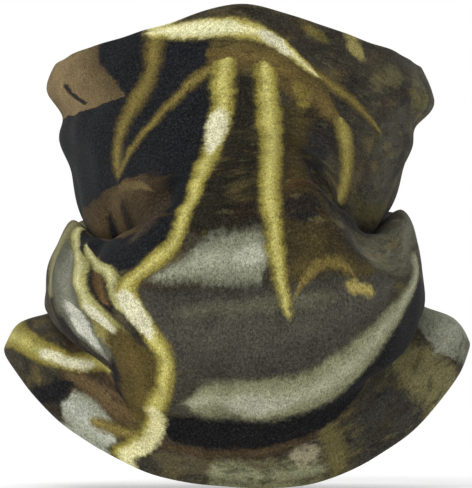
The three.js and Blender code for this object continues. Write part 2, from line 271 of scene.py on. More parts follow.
PULLED_FLAT = [(-48, 206), (-36, 211), (-22, 214)]  # where the tuck under the cowl is pulled flat again
PULLED_WIDTH = 12
PULL = 1.5  # how fully
EASING_PASSES = 90
SEAM_DIP = 1.1 * MM  # the cloth is drawn in at the seam
SEAM_DIP_WIDTH = 1.6
draped_face = drape(column_bearings, row_levels)
eased_face = draped_face.copy()
for _ in range(EASING_PASSES):
    eased_face[1:-1] = (eased_face[:-2] + 2 * eased_face[1:-1] + eased_face[2:]) / 4
pulled = np.minimum(PULL * fold_height(PULLED_FLAT, PULLED_WIDTH), 1)[..., None]
smooth_face = draped_face * (1 - pulled) + eased_face * pulled
stands_out = sum(height * fold_height(path, width) for path, width, height in SOFT_FOLDS) + unevenness()
seam_dip = SEAM_DIP * np.exp(-((FLAT_ROUND / 2 - np.abs(across_flat)) / SEAM_DIP_WIDTH) ** 2)
outer_face = smooth_face + outward_of(smooth_face) * (stands_out * MM - seam_dip)[..., None]
outward = outward_of((smooth_face + outer_face) / 2)
down_cloth = unit(np.gradient(outer_face, axis=0))


def cloth_layer(depth):
    return outer_face - outward * depth


def rim(row, way):
    """The round edge of the gaiter beyond a row, from the outer face to the inside."""
    radius = LINING_INSIDE / 2
    turns = np.pi * np.arange(1, RIM_STEPS) / RIM_STEPS
    return np.array([
        outer_face[row] - outward[row] * radius * (1 - math.cos(turn))
        + way * down_cloth[row] * radius * math.sin(turn) for turn in turns
    ])


def end_caps(corner):
    """Faces across the cut ends of a panel, between its outer and its inner face."""
    ring = len(corner)
    caps = []
    for column, order in ((corner[:, 0], 1), (corner[:, -1], -1)):
        for i in range(ring // 2 - 1):
            caps.append([int(column[k]) for k in (i, ring - 1 - i, ring - 2 - i, i + 1)][::order])
        if ring % 2:
            middle = ring // 2
            caps.append([int(column[k]) for k in (middle - 1, middle + 1, middle)][::order])
    return caps


def add_object(name, mesh):
    mesh.polygons.foreach_set("use_smooth", np.ones(len(mesh.polygons), bool))
    piece = bpy.data.objects.new(name, mesh)
    bpy.context.scene.collection.objects.link(piece)
    return piece


def panel(name, sections, down, gap):
    """A closed cloth panel from the points round its section, one column after another, open by a gap at the
    back seam. Its cloth_flat map gives each point's place on the flat cloth, in millimetres."""
    opened = sections.copy()
    opened[:, 0, 0] -= gap / 2
    opened[:, -1, 0] += gap / 2
    ring, columns = opened.shape[:2]
    corner = np.arange(ring * columns).reshape(ring, columns)
    after = np.roll(corner, -1, axis=0)
    quads = np.stack([corner[:, :-1], after[:, :-1], after[:, 1:], corner[:, 1:]], axis=-1).reshape(-1, 4)
    mesh = bpy.data.meshes.new(name)
    mesh.from_pydata(opened.reshape(-1, 3).tolist(), [], quads.tolist() + end_caps(corner))
    flat = np.stack(np.broadcast_arrays(across_flat, np.array(down)[:, None]), axis=-1)
    corners = np.empty(len(mesh.loops), np.int32)
    mesh.loops.foreach_get("vertex_index", corners)
    mesh.uv_layers.new(name="cloth_flat").data.foreach_set("uv", flat.reshape(-1, 2)[corners].ravel())
    return add_object(name, mesh)


folded_in = cloth_layer(LINING_INSIDE)
shell_inside = cloth_layer(SHELL_THICKNESS)
shell_section = np.concatenate([
    outer_face, rim(-1, 1), folded_in[:HEM_LEG - 1:-1], shell_inside[HEM_LEG:RIM_ROWS - 1:-1],
    folded_in[RIM_ROWS::-1], rim(0, -1)[::-1],
])
round_rim = np.pi * LINING_INSIDE / 2 / MM * np.arange(1, RIM_STEPS) / RIM_STEPS
turned_in = round_rim[-1] + down_flat[1] * np.arange(1, RIM_ROWS + 2)
shell_down = np.concatenate([
    down_flat, FLAT_LENGTH + round_rim, FLAT_LENGTH + turned_in, down_flat[HEM_LEG:RIM_ROWS - 1:-1],
    -turned_in[::-1], -round_rim[::-1],
])
shell = panel("printed_fleece_tube", shell_section, shell_down, SHELL_BACK_GAP)
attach(shell, "root")
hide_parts("outer_shell")


def paint(red, green, blue):
    """A dye as it looks on the cloth, 0 to 255, as the linear colour that a shader takes."""
    return (*(((c / 255 + 0.055) / 1.055) ** 2.4 if c > 10 else c / 3295 for c in (red, green, blue)), 1)


def feed(tree, socket, value):
    """Links a socket to another one, or sets it to a number or a colour."""
    if isinstance(value, bpy.types.NodeSocket):
        tree.links.new(value, socket)
    else:
        socket.default_value = value


def sum_of(tree, operation, *values):
    node = tree.nodes.new("ShaderNodeMath")
    node.operation = operation
    for socket, value in zip(node.inputs, values):
        feed(tree, socket, value)
    return node.outputs[0]


def spread_of(tree, value, start, end, low=0.0, high=1.0, smooth=True):
    """Spreads what lies between start and end out over low to high, level beyond them."""
    node = tree.nodes.new("ShaderNodeMapRange")
    node.interpolation_type = "SMOOTHSTEP" if smooth else "LINEAR"
    limits = (("Value", value), ("From Min", start), ("From Max", end), ("To Min", low), ("To Max", high))
    for name, limit in limits:
        feed(tree, node.inputs[name], limit)
    return node.outputs["Result"]


def noise_of(tree, vector, scale, detail=2, distortion=0, stretch=None, colour=False):
    if stretch:
        squeezed = tree.nodes.new("ShaderNodeVectorMath")
        squeezed.operation = "MULTIPLY"
        squeezed.inputs[1].default_value = stretch
        tree.links.new(vector, squeezed.inputs[0])
        vector = squeezed.outputs[0]
    node = tree.nodes.new("ShaderNodeTexNoise")
    node.inputs["Scale"].default_value = scale
    node.inputs["Detail"].default_value = detail
    node.inputs["Distortion"].default_value = distortion
    tree.links.new(vector, node.inputs["Vector"])
    return node.outputs["Color" if colour else "Fac"]


def mix_of(tree, share, under, over):
    node = tree.nodes.new("ShaderNodeMix")
    node.data_type = "RGBA"
    for place, value in ((0, share), (6, under), (7, over)):
        feed(tree, node.inputs[place], value)
    return node.outputs[2]


def bump_of(tree, height, strength, distance):
    node = tree.nodes.new("ShaderNodeBump")
    node.inputs["Strength"].default_value = strength
    node.inputs["Distance"].default_value = distance
    tree.links.new(height, node.inputs["Height"])
    return node.outputs[0]


def finish_of(tree, colour, normal, roughness, sheen=0.0, specular=0.5):
    """Gives a material's shader its colour and relief, and what is the same all over."""
    surface = tree.nodes["Principled BSDF"].inputs
    tree.links.new(colour, surface["Base Color"])
    tree.links.new(normal, surface["Normal"])
    surface["Roughness"].default_value = roughness
    surface["Sheen Weight"].default_value = sheen
    surface["Specular IOR Level"].default_value = specular


def new_material(name):
    material = bpy.data.materials.new(name)
    material.use_nodes = True
    return material, material.node_tree


def flat_place(tree):
    """Where a point lies on the flat cloth, in millimetres."""
    node = tree.nodes.new("ShaderNodeUVMap")
    node.uv_map = "cloth_flat"
    return node.outputs[0]


def new_group(name, inputs, outputs):
    group = bpy.data.node_groups.new(name, "ShaderNodeTree")
    for kind, label in inputs:
        group.interface.new_socket(label, in_out="INPUT", socket_type="NodeSocket" + kind)
    for kind, label in outputs:
        group.interface.new_socket(label, in_out="OUTPUT", socket_type="NodeSocket" + kind)
    return group, group.nodes.new("NodeGroupInput").outputs, group.nodes.new("NodeGroupOutput").inputs


def use_group(tree, group, *values):
    node = tree.nodes.new("ShaderNodeGroup")
    node.node_tree = group
    for socket, value in zip(node.inputs, values):
        feed(tree, socket, value)
    return node.outputs


# Brushed fleece: short curls a millimetre or so wide, lying a little down the cloth.
CURLS_SHARE = 0.72  # the rest is finer hairs
nap, nap_in, nap_out = new_group("fleece_nap", [("Vector", "Flat")], [("Float", "Tips"), ("Float", "Height")])
curls = noise_of(nap, nap_in["Flat"], 1.15, detail=2, distortion=1.2, stretch=(1, 0.8, 1))
hairs = noise_of(nap, nap_in["Flat"], 2.6, detail=1, distortion=0.6, stretch=(1.3, 0.8, 1))
heaped = sum_of(
    nap, "ADD", sum_of(nap, "MULTIPLY", curls, CURLS_SHARE), sum_of(nap, "MULTIPLY", hairs, 1 - CURLS_SHARE)
)
nap.links.new(heaped, nap_out["Height"])
nap.links.new(spread_of(nap, heaped, 0.32, 0.68, smooth=False), nap_out["Tips"])

# A printed shape along a line: how far inside it a point lies gives its colour, from its rim over its body to
# its core, and its edge has bled into the pile.
blot, blot_in, blot_out = new_group(
    "printed_shape",
    [("Float", "Place"), ("Float", "Middle"), ("Float", "Half"), ("Float", "Bleed"), ("Float", "Break"),
     ("Color", "Under"), ("Color", "Rim"), ("Color", "Body"), ("Color", "Core")],
    [("Color", "Design")],
)
THIN_END = 0.6  # of full ink for each millimetre of half width, where a shape runs out
off_line = sum_of(blot, "ABSOLUTE", sum_of(blot, "SUBTRACT", blot_in["Place"], blot_in["Middle"]))
outer = sum_of(blot, "ADD", blot_in["Half"], sum_of(blot, "MULTIPLY", blot_in["Bleed"], 0.5))
within = sum_of(blot, "SUBTRACT", outer, off_line)
ragged = sum_of(blot, "ADD", within, sum_of(blot, "MULTIPLY", blot_in["Bleed"], blot_in["Break"]))
run_out = sum_of(blot, "MINIMUM", sum_of(blot, "MULTIPLY", blot_in["Half"], THIN_END), 1.0)
ink = sum_of(blot, "MULTIPLY", spread_of(blot, ragged, 0.0, blot_in["Bleed"]), run_out)
depth = sum_of(blot, "DIVIDE", within, sum_of(blot, "MAXIMUM", outer, 0.5))
rounded = mix_of(blot, spread_of(blot, depth, 0.0, 0.5), blot_in["Rim"], blot_in["Body"])
rounded = mix_of(blot, spread_of(blot, depth, 0.45, 1.0), rounded, blot_in["Core"])
blot.links.new(mix_of(blot, ink, blot_in["Under"], rounded), blot_out["Design"])

print_material, dye = new_material("printed_fleece")
on_cloth = flat_place(dye)
split = dye.nodes.new("ShaderNodeSeparateXYZ")
dye.links.new(on_cloth, split.inputs[0])

# Behind the side lines the print turns back on itself, slanting down one side and up the other, so that the
# wearer's two sides differ and the halves don't match at the seam.
SIDE_LINE = 132.0
BACK_SLANT = 1.1
HALF_ROUND = FLAT_ROUND / 2
side_distance = sum_of(dye, "SUBTRACT", sum_of(dye, "ABSOLUTE", split.outputs["X"]), SIDE_LINE)
behind = sum_of(dye, "MAXIMUM", side_distance, 0.0)
sideways = sum_of(dye, "MULTIPLY", sum_of(dye, "SIGN", split.outputs["X"]), behind)
mirrored = sum_of(dye, "SUBTRACT", split.outputs["X"], sum_of(dye, "MULTIPLY", sideways, 2.0))
slanted = sum_of(dye, "ADD", split.outputs["Y"], sum_of(dye, "MULTIPLY", sideways, -BACK_SLANT))
folded_back = sum_of(dye, "PINGPONG", slanted, float(FLAT_LENGTH))

# The lines of the print wander a little, and their edges have crept along the fibres.
WANDER = 4.0  # millimetres, as is the next
CREEP = 0.6
TORN = 1.1
NOISE_MIDDLE = 0.5
long_noise = noise_of(dye, on_cloth, 0.09, detail=2, colour=True)
wandering = dye.nodes.new("ShaderNodeSeparateColor")
dye.links.new(long_noise, wandering.inputs[0])
short_noise = noise_of(dye, on_cloth, 1.1, detail=1, colour=True)
creeping = dye.nodes.new("ShaderNodeSeparateColor")
dye.links.new(short_noise, creeping.inputs[0])
torn_noise = noise_of(dye, on_cloth, 0.4, detail=3)
torn = sum_of(dye, "MULTIPLY", sum_of(dye, "SUBTRACT", torn_noise, NOISE_MIDDLE), TORN)


def strayed(place, channel):
    """A place on the cloth, moved as the print's lines wander and creep there."""
    far = sum_of(dye, "MULTIPLY", sum_of(dye, "SUBTRACT", wandering.outputs[channel], NOISE_MIDDLE), WANDER)
    near = sum_of(dye, "MULTIPLY", sum_of(dye, "SUBTRACT", creeping.outputs[channel], NOISE_MIDDLE), CREEP)
    return sum_of(dye, "ADD", place, sum_of(dye, "ADD", far, near))


across_place = strayed(mirrored, 0)
down_place = strayed(folded_back, 1)
across_share = sum_of(dye, "DIVIDE", sum_of(dye, "ADD", across_place, HALF_ROUND), float(FLAT_ROUND))
down_share = sum_of(dye, "DIVIDE", down_place, float(FLAT_LENGTH))
MOST_HALF = 70.0  # of any shape's half widths, in millimetres
CURVE_GUARD = 0.01  # how far beyond its ends a curve is held level
RUNS = {  # the share along a shape and the place across it, then the range and start of each
    "down": (down_share, across_place, FLAT_LENGTH, 0, FLAT_ROUND, HALF_ROUND),
    "across": (across_share, down_place, FLAT_ROUND, HALF_ROUND, FLAT_LENGTH, 0.0),
}


def curve_of(place, points, scale):
    """A smooth curve through (place, value) points, both as shares of their range, level beyond its ends."""
    node = dye.nodes.new("ShaderNodeFloatCurve")
    curve = node.mapping.curves[0]
    (first, start), (last, end) = points[0], points[-1]
    for i, point in enumerate([(first - CURVE_GUARD, start), *points, (last + CURVE_GUARD, end)]):
        if i < 2:
            curve.points[i].location = point
        else:
            curve.points.new(*point)
    for point in curve.points:
        point.handle_type = "AUTO_CLAMPED"
    node.mapping.extend = "HORIZONTAL"
    node.mapping.update()
    dye.links.new(place, node.inputs["Value"])
    return sum_of(dye, "MULTIPLY", node.outputs[0], scale)


def printed(under, runs, points, colours, edge):
    """Prints a shape over what is there. The points are (along, middle, half width) in millimetres: down the
    cloth from the top edge, or across it from the middle of the front. Colours run from rim to core."""
    along, place, length, start, reach, shift = RUNS[runs]
    middles = [((a + start) / length, (m + shift) / reach) for a, m, _ in points]
    halves = [((a + start) / length, h / MOST_HALF) for a, _, h in points]
    middle = sum_of(dye, "SUBTRACT", curve_of(along, middles, float(reach)), shift)
    half = curve_of(along, halves, MOST_HALF)
    rim_dye, core_dye = colours[0], colours[-1]
    body_dye = colours[1] if len(colours) > 2 else [(r + c) / 2 for r, c in zip(rim_dye, core_dye)]
    dyes = [paint(*colour) for colour in (rim_dye, body_dye, core_dye)]
    return use_group(dye, blot, place, middle, half, edge, torn, under, *dyes)[0]


NAVY = [(26, 28, 33)]
BLACK_BROWN = [(40, 35, 30)]
CREAM = [(218, 215, 184)]
BOUGH = [(78, 68, 34), (174, 163, 94), (222, 217, 166)]
BRANCH = [(66, 58, 30), (150, 140, 70), (192, 185, 114)]
TWIG = [(52, 46, 30), (98, 86, 46), (128, 115, 62)]
STRIPE = [(96, 90, 56), (168, 164, 108), (204, 200, 152)]

# The ground of the print: wide patches of soil, dead grass and shadow.
GROUND = [(0.34, (44, 41, 34)), (0.46, (64, 60, 49)), (0.56, (72, 67, 54)), (0.68, (96, 86, 55))]
soil = noise_of(dye, on_cloth, 0.055, detail=3)
ground = dye.nodes.new("ShaderNodeValToRGB")
for i, (at, colour) in enumerate(GROUND):
    stop = ground.color_ramp.elements[i] if i < 2 else ground.color_ramp.elements.new(at)
    stop.position, stop.color = at, paint(*colour)
dye.links.new(soil, ground.inputs[0])
design = ground.outputs[0]
for shape in [
    # the bridge of the nose and the wearer's left cheek
    ("across", [(-18, 24, 0), (-9, 27, 9), (4, 29, 11), (16, 33, 12), (28, 39, 12), (38, 47, 10),
     (50, 54, 0)], [(70, 60, 36), (112, 96, 54)], 8),
    ("down", [(44, 25, 0), (52, 26, 8), (90, 26, 8), (130, 29, 11), (146, 33, 15), (160, 38, 18),
     (167, 40, 0)], [(54, 48, 30), (78, 67, 38)], 7),
    ("down", [(38, 2, 0), (44, 2, 8), (70, 3, 8), (100, 0, 12), (122, -5, 16), (136, -6, 16), (143, -4, 0)],
     [(42, 38, 26)], 6),
    ("down", [(50, 35, 0), (60, 36, 5), (85, 36, 5.5), (100, 36, 5), (110, 37, 0)], [(44, 44, 42)], 5),
    ("down", [(36, 23, 0), (43, 25.5, 3.4), (48, 26.5, 3), (55, 28, 0)], [(132, 119, 62)], 4),
    ("across", [(24, 5, 0), (29, 5, 3), (35, 5.4, 3), (41, 7, 0)], [(118, 107, 60)], 4),
    ("down", [(0, 51, 3.6), (6, 52, 4.6), (11, 53.5, 3), (15, 54, 0)], [(156, 147, 92)], 4),
    ("across", [(56, 22, 0), (64, 19, 5), (75, 15.5, 6), (84, 13, 0)], [(104, 100, 70)], 7),
    ("across", [(84, 22, 0), (93, 17, 9), (101, 19, 11), (109, 25, 10), (118, 32, 0)], [(96, 92, 58)], 7),
    ("down", [(24, 88, 0), (36, 84, 12), (50, 82, 15), (70, 84, 14), (90, 88, 10), (110, 92, 0)],
     [(66, 64, 54), (82, 80, 66)], 8),
    ("across", [(60, 84, 0), (75, 90, 4.6), (90, 91, 6), (105, 93, 6), (120, 98, 0)], [(80, 75, 44)], 6),
    # painted shadow: this near-black band is partly dark print and partly the fold's shade painted in, below
    # the end of the crease off the cowl's lip
    ("across", [(34, 128, 0), (44, 130, 5), (58, 131, 5.5), (72, 131, 4), (84, 129, 0)], [(34, 31, 22)], 5),
    ("across", [(18, 132, 0), (24, 134, 5), (32, 135, 6), (40, 136, 0)], [(34, 33, 35)], 4),
    ("across", [(16, 122, 0), (24, 120, 4), (34, 118, 4), (42, 116, 0)], [(84, 62, 36)], 5),
    # the cowl under the chin: pale and dark bands one under the other
    ("across", [(50, 147, 0), (60, 147, 6), (70, 147, 10), (80, 147, 14), (90, 146, 18), (100, 144, 19),
     (112, 142, 18), (125, 139, 15), (140, 133, 0)], [(78, 76, 56), (112, 112, 96)], 8),
    ("across", [(-38, 239, 0), (-30, 239.5, 5), (-15, 240, 5), (0, 238, 4.6), (12, 236.6, 5),
     (22, 233.5, 5.6), (32, 229.5, 6), (41, 225, 4.6), (52, 222, 0)], [(50, 42, 33), (82, 69, 48)], 6),
    ("across", [(-16, 250, 0), (-10, 249.6, 6), (0, 249.5, 6.6), (20, 249.5, 6.6), (34, 250, 6),
     (44, 252, 0)], [(100, 98, 70), (138, 138, 110)], 8),
    ("across", [(-40, 248, 0), (-30, 247.6, 5), (-18, 248, 5), (-8, 249, 0)], [(92, 86, 66)], 5),
    ("across", [(22, 241, 0), (27, 240.6, 4.4), (31, 240.5, 5), (36, 241, 3), (41, 242, 0)],
     [(156, 149, 124)], 6),
    ("down", [(222, 42, 0), (230, 43, 4), (242, 44, 4.6), (255, 44, 4)], [(104, 97, 62)], 6),
    ("down", [(222, 66, 0), (230, 66, 14), (242, 68, 16), (255, 70, 17)], [(62, 60, 54)], 7),
    ("down", [(212, 86, 0), (222, 92, 9), (235, 95, 10), (245, 96, 10), (255, 97, 10)], [(118, 114, 80)],
     7),
    ("across", [(102, 236, 0), (110, 236, 14), (120, 238, 20), (135, 238, 20), (152, 240, 0)],
     [(112, 114, 96), (148, 151, 134)], 7),
    # the cowl and the flare over the wearer's right collarbone, and the hem
    ("across", [(-96, 226, 0), (-88, 228, 7), (-74, 231, 10), (-60, 230, 12), (-50, 231, 10),
     (-42, 232, 0)], [(70, 58, 40), (112, 94, 64)], 5),
    ("across", [(-112, 208, 0), (-98, 212, 9), (-84, 214, 12), (-70, 214, 12), (-58, 214, 9),
     (-48, 216, 0)], [(52, 44, 32), (108, 86, 58)], 5),
]:
    design = printed(design, *shape)

# Leaf litter: brown and olive blotches and darker flecks over the patches, under the leaves and the boughs.
for scale, stretch, low, high, share, colour in [
    (0.07, (0.9, 1.6, 1), 0.5, 0.66, 0.45, (58, 44, 27)),
    (0.06, (0.8, 1.4, 1), 0.54, 0.7, 0.4, (120, 108, 60)),
    (0.14, (0.8, 1.7, 1), 0.53, 0.7, 0.5, (30, 27, 22)),
    (0.18, (0.8, 1.5, 1), 0.58, 0.74, 0.3, (132, 124, 84)),
]:
    elsewhere = dye.nodes.new("ShaderNodeVectorMath")  # so that no two blotches fall together
    elsewhere.inputs[1].default_value = (scale * 900, -scale * 500, 7)
    dye.links.new(on_cloth, elsewhere.inputs[0])
    strewn = noise_of(dye, elsewhere.outputs[0], scale, detail=3, distortion=0.4, stretch=stretch)
    design = mix_of(dye, spread_of(dye, strewn, low, high, high=share), design, paint(*colour))

for shape in [
    # the smooth belly of the cowl with a pale patch over it
    ("across", [(-48, 166, 0), (-40, 172, 7), (-30, 180, 16), (-15, 181, 20), (0, 180.5, 20.5),
     (20, 179, 19), (40, 175, 16), (55, 171, 12), (68, 166, 9), (80, 161, 0)], [(62, 60, 53), (84, 81, 71)],
     5),
    ("across", [(-34, 172, 0), (-14, 170, 2.4), (10, 168, 3), (34, 170, 2.6), (52, 168, 0)], [(96, 95, 78)],
     5),
    ("across", [(-34, 201, 0), (-28, 204, 13), (-16, 206, 13), (-6, 206, 0)], [(74, 71, 60)], 6),
    ("across", [(-44, 160, 0), (-32, 158, 2.6), (-22, 154, 5), (-14, 150, 9), (-6, 148.6, 11),
     (4, 148.6, 11), (10, 149, 10.5), (15, 150, 0)], [(112, 114, 96), (154, 156, 136)], 7),
    ("across", [(10, 162, 0), (20, 159, 3), (32, 157, 5), (44, 157, 5), (56, 158, 4), (68, 156, 0)],
     [(64, 56, 34), (84, 74, 42)], 6),
    ("across", [(20, 170, 0), (28, 162, 2), (38, 157.5, 2.2), (48, 159, 2), (56, 165, 0)], [(124, 110, 62)],
     3.4),
    ("across", [(44, 166, 0), (49, 166, 2.8), (56, 167, 3), (63, 168, 0)], [(162, 150, 90)], 3.4),
    # the dark field on the wearer's right cheek, and the leaves that lie on it
    ("down", [(0, -84, 52), (8, -80, 56), (14, -74, 62), (20, -73, 62), (36, -73, 62), (50, -71.5, 62),
     (70, -73, 62), (90, -75, 60), (110, -77, 58), (130, -80, 55), (142, -83, 52), (150, -86, 47),
     (155, -91, 42), (160, -95, 0)], NAVY, 2.6),
    ("down", [(0, -99, 34), (10, -99, 36), (22, -95, 40), (32, -93, 41), (38.5, -92, 42.5), (40.5, -92, 0)],
     [(96, 82, 56), (128, 111, 78), (144, 125, 90)], 3.2),
    ("down", [(16, -89, 0), (21, -89.6, 1.9), (26, -89, 2), (31, -86, 3), (34, -82, 3), (37, -80, 0)],
     BLACK_BROWN, 2.4),
    ("down", [(78, -56, 0), (82, -58, 20), (88, -66, 31), (95, -79, 46), (112, -80, 46), (125, -80, 46),
     (131, -62, 25), (136, -56, 0)], [(62, 51, 34), (98, 82, 54)], 6),
    ("down", [(88, -78, 0), (94, -80, 2.4), (102, -81, 3.6), (112, -80, 4), (122, -77, 4), (134, -72, 0)],
     [(28, 25, 25)], 5),
    ("down", [(100, -98, 0), (108, -94, 4), (118, -89, 4), (130, -84, 0)], [(44, 35, 26)], 5),
    ("down", [(84, -62, 0), (94, -64, 3), (106, -62, 4), (116, -57, 3.4), (126, -52, 0)], [(52, 42, 30)],
     6),
    ("across", [(-45, 82, 0), (-38, 83, 3.4), (-31, 86, 0)], [(42, 36, 34)], 3.4),
    ("across", [(-70, 86, 0), (-60, 83.5, 2), (-50, 86, 2.4), (-42, 94, 2), (-38, 101, 0)], [(112, 98, 64)],
     3.4),
    ("down", [(100, -38, 0), (110, -38, 4.5), (120, -40, 6), (130, -42, 6), (138, -46, 4), (144, -50, 0)],
     [(72, 62, 48)], 6),
    # the dark band under the cowl's pale crest, partly print and partly painted shadow, and the crest
    # painted shadow: the near-black runs along the cowl's lower lip, as the shade of the cloth behind the lip
    ("across", [(-37, 226, 0), (-31, 226.5, 8), (-20, 227, 9.5), (0, 227, 9.5), (20, 223.5, 9.5),
     (40, 218, 10), (50, 213, 11), (60, 206, 12), (68, 199, 13), (76, 194, 13.5), (86, 190, 14),
     (96, 188, 14), (108, 188, 12), (124, 190, 0)], [(20, 19, 22)], 4),
    ("across", [(-28, 210, 0), (-18, 210, 6), (-10, 209, 9.5), (0, 208.5, 10), (10, 208.5, 10),
     (20, 207.4, 10), (30, 204.8, 10), (40, 200.8, 10.4), (50, 196.2, 10.2), (60, 189.5, 9), (70, 182.6, 7),
     (80, 176.6, 6), (90, 170.6, 6.4), (98, 163, 6), (107, 157, 0)], [(92, 91, 72), (136, 137, 108),
     (160, 161, 136)], 6),
    # the cowl over the wearer's right collarbone: streaks drawn together at the neck
    ("down", [(124, -112, 0), (130, -117, 12), (150, -114, 14), (166, -111, 12), (180, -107, 9),
     (192, -104, 0)], [(96, 92, 62), (150, 146, 106)], 4),
    ("down", [(134, -102, 0), (142, -98, 9), (150, -94, 14), (158, -91, 17), (168, -88, 18), (176, -84, 18),
     (184, -78, 17), (190, -72, 15), (197, -64, 11), (205, -57, 0)], [(88, 88, 74), (108, 109, 94),
     (140, 141, 124)], 4),
    ("down", [(176, -82, 0), (182, -77, 6), (188, -72, 7), (195, -66, 5), (201, -60, 0)], [(196, 197, 182)],
     5),
    # painted shadow: a dark line along the cowl's lower lip, where the cloth behind the lip lies in shade
    ("across", [(-110, 186, 0), (-100, 189, 2.4), (-90, 194, 2.6), (-78, 200, 3), (-66, 207, 3),
     (-56, 212, 0)], [(36, 32, 28)], 3.4),
    ("down", [(137, -90, 0), (143, -82, 8), (152, -72, 10), (162, -66, 9), (170, -61, 8), (178, -54, 0)],
     [(30, 27, 27)], 3),
    ("down", [(140, -72, 0), (146, -70, 3), (154, -66, 3.4), (162, -63, 3), (170, -59, 2.6), (176, -55, 0)],
     [(76, 56, 36), (104, 84, 52)], 3.4),
    ("down", [(124, -108, 0), (131, -106.5, 3.4), (137, -103, 5), (142, -96, 8.4), (146.6, -86, 9.6),
     (151, -79.6, 7.4), (158, -76, 6), (168, -71.6, 6.4), (174, -67, 8), (180, -60.6, 11), (184.6, -53, 9),
     (189, -46, 0)], STRIPE, 4),
    ("down", [(136, -88, 0), (141, -81, 3.6), (146, -73, 5.4), (151.5, -64, 6.4), (157, -57.4, 4.6),
     (164, -54, 4), (171, -50, 5), (178, -44, 0)], STRIPE, 3.6),
    ("across", [(-70, 180, 0), (-62, 183, 6), (-53, 187, 7), (-44, 193, 5), (-36, 200, 0)],
     [(150, 142, 86)], 5),
    # the flare and the leaf at the fork of the long branch
    ("down", [(198, -54, 0), (206, -53, 6), (216, -50, 7), (226, -47, 4), (233, -46, 0)], [(30, 27, 27)],
     4),
    ("across", [(-84, 247, 0), (-78, 246, 8), (-68, 246.5, 10), (-58, 248, 9), (-50, 250, 0)],
     [(138, 140, 120), (184, 187, 172)], 5),
    ("down", [(232, -80, 0), (239, -84, 4), (246, -87, 4.8), (252, -91, 5), (255, -93, 5)], [(26, 26, 30)],
     4),
    ("down", [(178, -52, 0), (186, -47, 9), (192, -43.5, 12), (199, -42, 11), (208, -42, 10), (216, -43, 9),
     (226, -45, 7), (234, -48, 0)], [(84, 72, 38), (102, 88, 46)], 5),
    ("across", [(-70, 246, 0), (-62, 245, 3.4), (-54, 243, 4), (-46, 240, 4), (-40, 238, 0)], [(96, 82, 44),
     (140, 128, 74)], 4),
    ("across", [(-150, 250, 12), (-132, 246, 12), (-123, 243, 10), (-113, 239, 8), (-101, 234, 7),
     (-89, 228, 6), (-77, 220.6, 5.4), (-69, 216, 5), (-62, 211.6, 4.4), (-56, 208, 0)], BRANCH, 4.4),
    ("across", [(-108, 236, 0), (-98, 233, 3), (-88, 228, 3), (-78, 223, 2.4), (-70, 220, 0)], CREAM, 4),
    # twigs and boughs, from the farthest to the nearest
    ("across", [(-65, 78, 0), (-60, 74.6, 2.2), (-55, 70.6, 2.4), (-47, 63.4, 2.8), (-39, 56.4, 2.8),
     (-31, 49.6, 3), (-21, 43, 3.4), (-13, 38, 4), (-6, 35, 0)], TWIG, 4),
    ("down", [(0, -36, 4), (8, -34, 4.8), (20, -34, 4.8), (30, -37, 5), (38, -41, 6), (44, -45, 6.4),
     (50, -50, 5.8), (58, -55, 4.6), (66, -59, 4), (73, -61.6, 3.6), (82, -64, 0)], TWIG, 6),
    ("down", [(48, 43, 0), (56, 46.6, 5.4), (64, 50, 6), (72, 53, 6.2), (80, 56, 5.6), (88, 57, 5),
     (96, 56, 4), (105, 54, 0)], [(62, 54, 34), (122, 111, 60), (156, 145, 82)], 5),
    ("down", [(30, 10, 0), (36, 10.6, 4.5), (50, 12, 5), (60, 13, 5.2), (70, 14, 5.2), (80, 14.2, 5.2),
     (95, 14.4, 5.2), (110, 14, 5.2), (120, 14, 5), (130, 14.8, 4.7), (140, 15.8, 4.3), (150, 16.6, 4),
     (160, 17.8, 3.1), (170, 19.8, 2.2), (180, 21.4, 0)], BRANCH, 4.4),
    ("down", [(29, -3, 0), (34, -4.6, 4.3), (42, -5.4, 4.9), (52, -5.8, 4.9), (60, -7, 4.9), (70, -9, 5),
     (80, -11.4, 5.2), (90, -13.6, 5.2), (100, -15.6, 5), (110, -18.4, 4.7), (120, -21, 4.3),
     (130, -23.6, 4), (140, -26.6, 4), (147, -30.6, 4.7), (153, -36, 6.3), (157.5, -43, 7.2),
     (162, -48, 6.3), (168, -46.6, 6.3), (174, -42, 6.3), (180, -36, 5.8), (186, -31, 4.5), (193, -28.8, 4),
     (200, -30, 4), (208, -33, 4.5), (216, -35.6, 4.5), (224, -37.4, 4.8), (232, -39, 5), (240, -41.6, 5.2),
     (248, -45, 5.4), (255, -49, 5.4)], BRANCH, 4.4),
    ("across", [(18, 20, 0), (26, 25.4, 4.6), (34, 30.6, 4.2), (44, 36, 3.8), (54, 40, 3.4), (64, 45, 3),
     (76, 51, 0)], TWIG, 4.4),
    ("across", [(-42, 0.6, 0), (-34, 2.4, 4.6), (-26, 5.4, 5.4), (-17, 8.6, 6), (-7, 11.6, 6.4),
     (0, 13.2, 6.2), (8, 15, 5.8), (16, 18.6, 5.2), (23, 23.4, 4.6), (30, 28.4, 3), (37, 33, 0)], BOUGH,
     4.4),
    # where the light catches the bark
    ("down", [(50, -6.4, 0), (58, -7.4, 3.4), (66, -8.6, 3.8), (74, -10, 3), (84, -12, 0)], CREAM, 4),
    ("across", [(6, 15, 0), (11, 16.4, 3.6), (17, 19.4, 3.8), (23, 24, 0)], CREAM, 3.6),
    ("across", [(-38, 2, 0), (-24, 6, 4), (-14, 9.6, 4.4), (-2, 12.6, 3.4), (8, 15, 0)], [(222, 219, 176)],
     4.4),
    ("down", [(162, -49, 0), (167, -47.6, 4.4), (173, -43.4, 5.4), (179, -38, 4.4), (185, -33, 0)], CREAM,
     4),
    ("down", [(172, -69, 0), (177, -65, 5), (181, -60.6, 6.4), (186, -54, 0)], [(214, 212, 184)], 4),
    ("across", [(-8, 212, 0), (0, 211, 4.4), (8, 211, 4.4), (18, 210, 3), (30, 206, 0)], [(176, 177, 156)],
     6),
